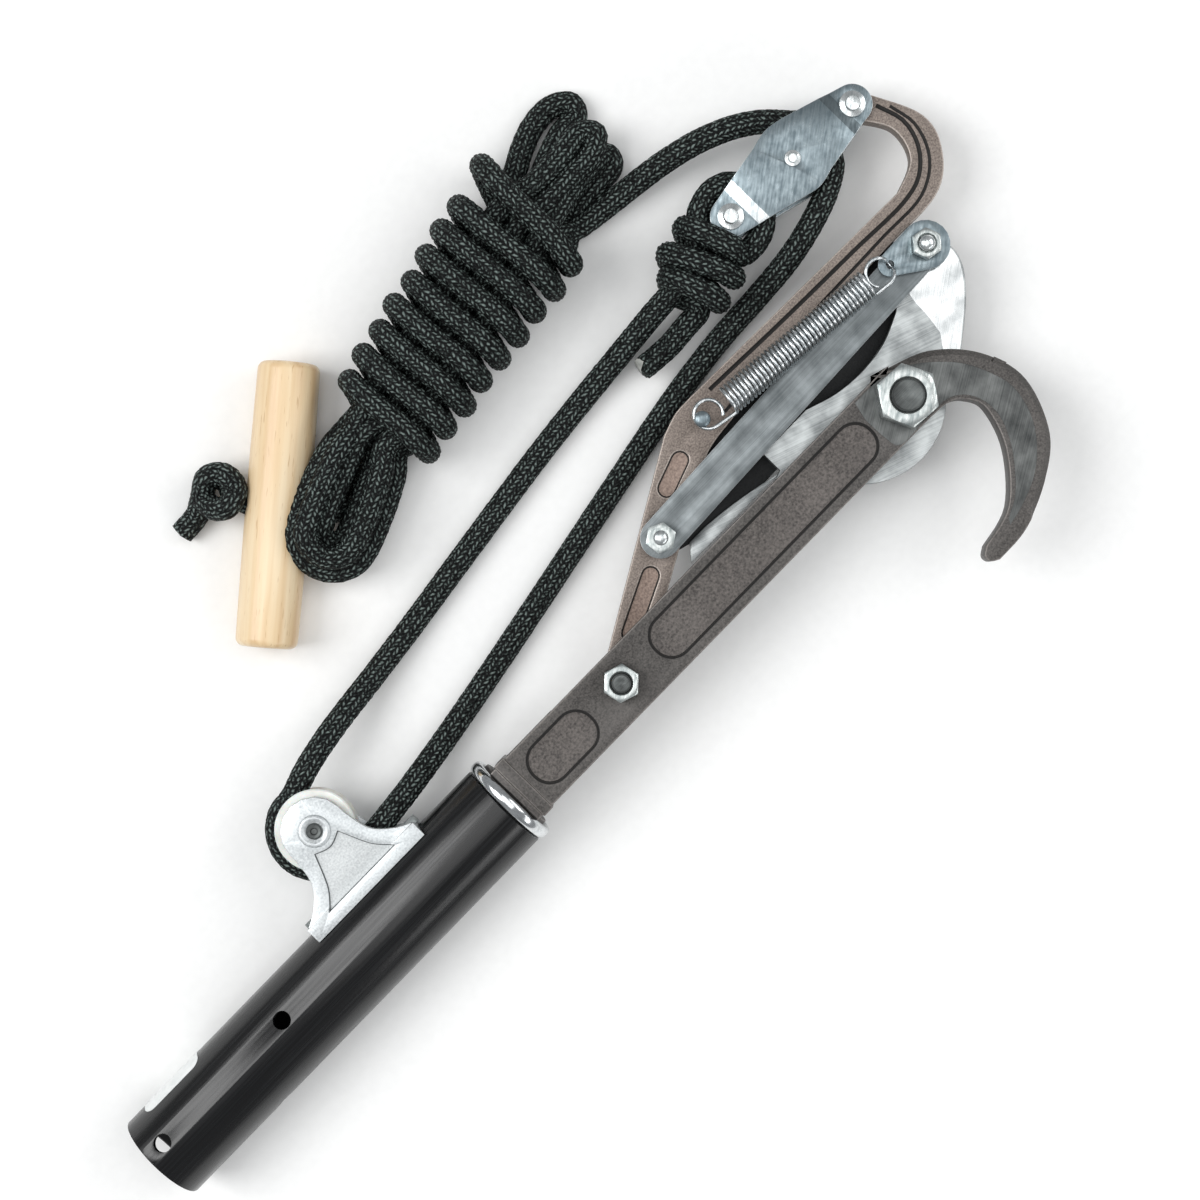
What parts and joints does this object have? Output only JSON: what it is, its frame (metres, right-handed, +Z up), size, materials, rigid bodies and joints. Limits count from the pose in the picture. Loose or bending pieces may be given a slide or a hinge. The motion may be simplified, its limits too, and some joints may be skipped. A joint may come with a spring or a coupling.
{
  "type": "pole pruner head",
  "caption": "Rope-operated pole pruner head: pole socket, hook casting, pivoting blade driven by a lever through links, return spring, pulleys, cord and toggle handle.",
  "frame": {"origin": "middle of the tool's own footprint, without its rope, on the surface it lies on", "axes": "+X along the socket tube towards the hook, +Y across it towards the pulleys, +Z up from the surface it lies on"},
  "size_m": [0.4962, 0.2593, 0.0477],
  "materials": {
    "black_tube": "black semi-gloss",
    "chrome": "polished",
    "cast_aluminium": "as cast",
    "dark_casting": "dark grey, matt",
    "brown_casting": "brown grey, matt",
    "bright_steel": "ground",
    "grey_steel": "dull",
    "dark_steel": "dark, oiled",
    "zinc": "zinc plated",
    "nylon": "white, matt",
    "black_rope": "braided, black",
    "beech": "lacquered"
  },
  "bodies": {
    "frame": {"socket_tube": "black_tube", "end_ring": "chrome", "hook_casting": "dark_casting", "pulley_bracket": "cast_aluminium", "bracket_screw_1": "grey_steel", "bracket_screw_2": "grey_steel", "lower_axle": "zinc", "lever_bolt": "zinc", "lever_nut": "zinc", "blade_bolt": "grey_steel", "blade_nut": "zinc", "rope_reeve": "black_rope", "rope_floor_run": "black_rope", "rope_lead": "black_rope"},
    "lower_pulley": {"lower_sheave": "nylon"},
    "lever": {"lever_casting": "brown_casting", "stop_finger": "bright_steel", "spring_pin": "zinc"},
    "blade": {"blade": "bright_steel", "tail_bolt": "zinc", "tail_nut": "zinc", "tail_spacer": "grey_steel"},
    "links": {"link_front": "grey_steel", "link_rear": "dark_steel", "link_bolt": "zinc", "link_nut": "zinc", "spring_tab": "zinc"},
    "spring": {"spring_coil": "bright_steel", "spring_hook_lever": "bright_steel"},
    "spring_end": {"spring_hook_tab": "bright_steel"},
    "block": {"block_plate_front": "zinc", "block_plate_rear": "zinc", "sheave_rivet": "zinc", "becket_bolt": "zinc", "block_bolt": "zinc", "becket_loop": "black_rope", "becket_knot": "black_rope", "becket_tail": "black_rope"},
    "upper_pulley": {"upper_sheave": "nylon"},
    "hank": {"rope_fall": "black_rope", "rope_hank": "black_rope", "toggle_handle": "beech", "stopper_knot": "black_rope"}
  },
  "joints": [
    {"name": "lever_pivot", "type": "hinge", "parent": "frame", "child": "lever", "pos_m": [0.0088, -0.0187, 0.0199], "axis": [0, 0, 1], "range_deg": [0, 95], "deforming": ["rope_reeve", "rope_lead"]},
    {"name": "blade_pivot", "type": "hinge", "parent": "frame", "child": "blade", "pos_m": [0.1631, -0.0204, 0.0199], "axis": [0, 0, 1], "range_deg": [0, 90]},
    {"name": "link_pivot", "type": "hinge", "parent": "lever", "child": "links", "pos_m": [0.0593, 0.0091, 0.0199], "axis": [0, 0, 1], "range_deg": [-100, 0]},
    {"name": "spring_swing", "type": "hinge", "parent": "lever", "child": "spring", "pos_m": [0.1029, 0.0294, 0.0199], "axis": [0, 0, 1], "range_deg": [-104, 0]},
    {"name": "spring_stretch", "type": "slide", "parent": "spring", "child": "spring_end", "axis": [0.9951, -0.0994, 0], "range_m": [0, 0.075], "deforming": ["spring_coil", "spring_hook_tab"]},
    {"name": "block_swivel", "type": "hinge", "parent": "lever", "child": "block", "pos_m": [0.2314, 0.073, 0.0199], "axis": [0, 0, 1], "range_deg": [-6, 0]},
    {"name": "upper_sheave_spin", "type": "hinge", "parent": "block", "child": "upper_pulley", "pos_m": [0.2, 0.0748, 0.0199], "axis": [0, 0, 1], "continuous": true},
    {"name": "lower_sheave_spin", "type": "hinge", "parent": "frame", "child": "lower_pulley", "pos_m": [-0.1148, 0.026, 0.0199], "axis": [0, 0, 1], "continuous": true},
    {"name": "fall_turn", "type": "hinge", "parent": "block", "child": "hank", "pos_m": [0.2, 0.0748, 0.0199], "axis": [0, 0, 1], "range_deg": [-90, 0], "deforming": ["rope_fall"]}
  ],
  "couplings": [
    {"joint": "blade_pivot", "follows": "lever_pivot", "ratio": 0.9275},
    {"joint": "link_pivot", "follows": "lever_pivot", "ratio": -1.0275},
    {"joint": "spring_swing", "follows": "lever_pivot", "ratio": -1.07},
    {"joint": "spring_stretch", "follows": "lever_pivot", "m_per_rad": 0.0431},
    {"joint": "block_swivel", "follows": "lever_pivot", "ratio": -0.06},
    {"joint": "fall_turn", "follows": "lever_pivot", "ratio": -0.94}
  ]
}
